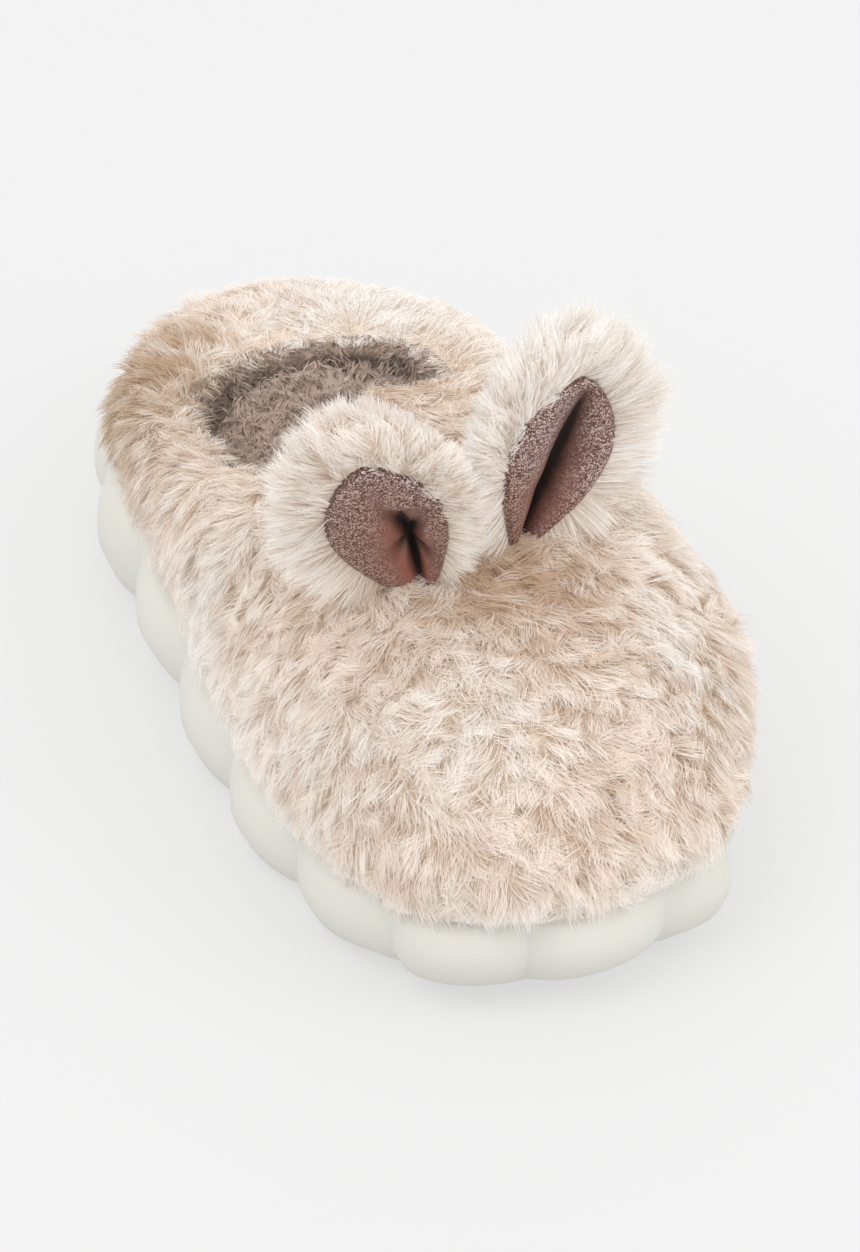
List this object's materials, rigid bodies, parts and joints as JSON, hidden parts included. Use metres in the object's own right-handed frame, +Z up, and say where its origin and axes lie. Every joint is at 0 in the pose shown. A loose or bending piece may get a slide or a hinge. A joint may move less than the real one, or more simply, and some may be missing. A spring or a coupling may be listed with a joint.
{
  "type": "animal slipper",
  "caption": "Backed plush house slipper with a scalloped foam sole, a deep-pile upper around an open padded collar, and standing folded ears lined with glitter mesh.",
  "frame": {"origin": "on the floor, under the middle of the sole's bounding box", "axes": "+Y from toe to heel, +X to the inner (medial) side of the right foot, +Z up"},
  "size_m": [0.1256, 0.2668, 0.1337],
  "materials": {
    "foam_sole": "matte ivory foam",
    "footbed": "short taupe pile",
    "plush": "long cream and tan pile",
    "ear_plush": "long cream pile",
    "glitter_mesh": "mauve mesh with silver glints"
  },
  "bodies": {
    "root": {"sole": "foam_sole", "insole": "footbed", "upper": "plush", "ear_lateral": "ear_plush", "ear_medial": "ear_plush", "ear_patch_lateral": "glitter_mesh", "ear_patch_medial": "glitter_mesh"}
  },
  "joints": []
}
